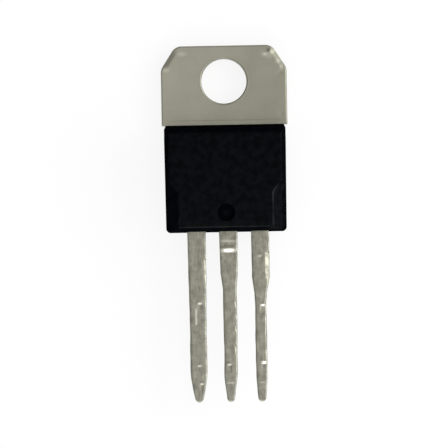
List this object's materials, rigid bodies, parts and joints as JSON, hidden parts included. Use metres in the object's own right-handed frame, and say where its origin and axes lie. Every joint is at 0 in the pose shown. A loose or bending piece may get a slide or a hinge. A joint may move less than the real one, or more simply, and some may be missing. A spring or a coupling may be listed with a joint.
{
  "type": "voltage regulator",
  "caption": "Through-hole voltage regulator: a moulded black body on a plated metal heat-sink tab with a screw hole, and a row of flat tinned leads.",
  "frame": {"origin": "axis of the screw hole where it meets the back face of the tab; the part lies on that face", "axes": "+Z out of the front face, +Y towards the top edge of the tab, leads towards -Y, +X to the right seen from the front"},
  "size_m": [0.0102, 0.0287, 0.0045],
  "materials": {
    "tinned_copper": "satin tin plating over stamped copper",
    "solder_dipped_copper": "hot-dipped solder, slightly uneven",
    "black_epoxy": "fine matte mould texture",
    "soft_solder": "dull solder layer",
    "silicon": "polished silicon",
    "aluminium_wire": "bright drawn wire"
  },
  "bodies": {
    "root": {"heat_sink_tab": "tinned_copper", "input_lead": "solder_dipped_copper", "output_lead": "solder_dipped_copper", "moulded_body": "black_epoxy", "die_attach_solder": "soft_solder", "regulator_die": "silicon", "input_bond_wire": "aluminium_wire", "output_bond_wire": "aluminium_wire", "ground_bond_wire": "aluminium_wire"}
  },
  "joints": []
}
